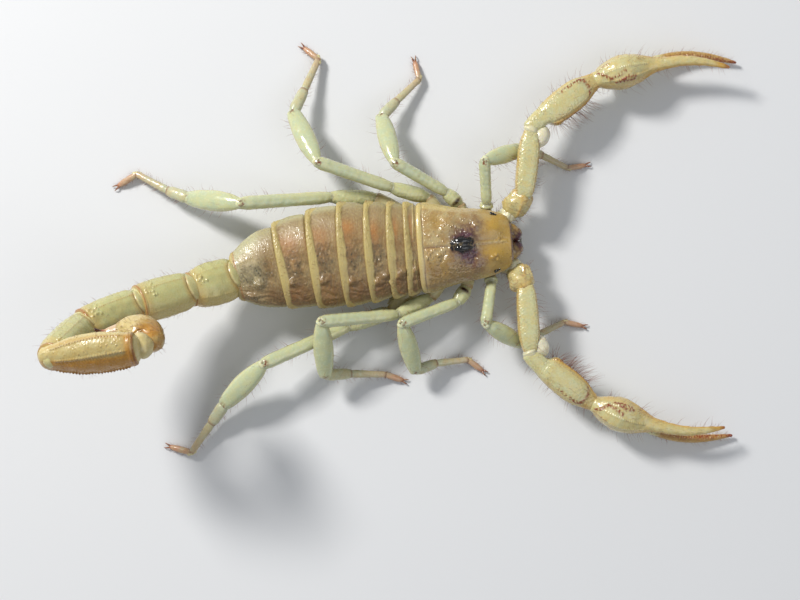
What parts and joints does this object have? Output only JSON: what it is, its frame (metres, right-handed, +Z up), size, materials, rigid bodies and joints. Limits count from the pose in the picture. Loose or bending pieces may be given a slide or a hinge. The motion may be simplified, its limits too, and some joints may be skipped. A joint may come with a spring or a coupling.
{
  "type": "desert hairy scorpion model",
  "caption": "Life-size still model of a giant desert hairy scorpion, pincers spread wide, legs standing and tail folded back over itself.",
  "frame": {"origin": "middle of the floor under the model's box", "axes": "+X towards the head, +Y towards the animal's left, +Z up"},
  "size_m": [0.1212, 0.0776, 0.0368],
  "materials": {
    "carapace_cuticle": "glossy golden tan cuticle with a dark smudge round the median eyes",
    "tergite_cuticle": "glossy tan brown plates with pale yellow rear bands",
    "tail_cuticle": "glossy pale yellow cuticle with orange brown keels",
    "telson_cuticle": "glossy orange gold cuticle",
    "limb_cuticle": "glossy translucent pale greenish yellow cuticle",
    "tarsus_cuticle": "pink orange cuticle with bristles",
    "belly_cuticle": "pale cream cuticle",
    "horn_brown": "dark reddish brown horn",
    "eye_black": "polished black",
    "setae": "fine red brown hairs"
  },
  "bodies": {
    "root": {"carapace": "carapace_cuticle", "coxosternum": "belly_cuticle", "chelicera_left": "carapace_cuticle", "median_eye_left": "eye_black", "lateral_eyes_left": "eye_black", "pecten_left": "belly_cuticle", "chelicera_right": "carapace_cuticle", "median_eye_right": "eye_black", "lateral_eyes_right": "eye_black", "pecten_right": "belly_cuticle", "mesosoma_1": "tergite_cuticle", "mesosoma_2": "tergite_cuticle", "mesosoma_3": "tergite_cuticle", "mesosoma_4": "tergite_cuticle", "mesosoma_5": "tergite_cuticle", "mesosoma_6": "tergite_cuticle", "mesosoma_7": "tergite_cuticle", "metasoma_1": "tail_cuticle", "metasoma_2": "tail_cuticle", "metasoma_3": "tail_cuticle", "metasoma_4": "tail_cuticle", "metasoma_5": "tail_cuticle", "telson_vesicle": "telson_cuticle", "aculeus": "horn_brown", "palp_left_coxa": "limb_cuticle", "palp_left_trochanter": "limb_cuticle", "palp_left_femur": "limb_cuticle", "palp_left_patella": "limb_cuticle", "palp_left_hand": "limb_cuticle", "palp_left_finger": "telson_cuticle", "leg_left_1_femur": "limb_cuticle", "leg_left_1_patella": "limb_cuticle", "leg_left_1_tarsus": "tarsus_cuticle", "leg_left_2_femur": "limb_cuticle", "leg_left_2_patella": "limb_cuticle", "leg_left_2_tarsus": "tarsus_cuticle", "leg_left_3_femur": "limb_cuticle", "leg_left_3_patella": "limb_cuticle", "leg_left_3_tarsus": "tarsus_cuticle", "leg_left_4_femur": "limb_cuticle", "leg_left_4_patella": "limb_cuticle", "leg_left_4_tarsus": "tarsus_cuticle", "palp_right_coxa": "limb_cuticle", "palp_right_trochanter": "limb_cuticle", "palp_right_femur": "limb_cuticle", "palp_right_patella": "limb_cuticle", "palp_right_hand": "limb_cuticle", "palp_right_finger": "telson_cuticle", "leg_right_1_femur": "limb_cuticle", "leg_right_1_patella": "limb_cuticle", "leg_right_1_tarsus": "tarsus_cuticle", "leg_right_2_femur": "limb_cuticle", "leg_right_2_patella": "limb_cuticle", "leg_right_2_tarsus": "tarsus_cuticle", "leg_right_3_femur": "limb_cuticle", "leg_right_3_patella": "limb_cuticle", "leg_right_3_tarsus": "tarsus_cuticle", "leg_right_4_femur": "limb_cuticle", "leg_right_4_patella": "limb_cuticle", "leg_right_4_tarsus": "tarsus_cuticle"}
  },
  "joints": []
}
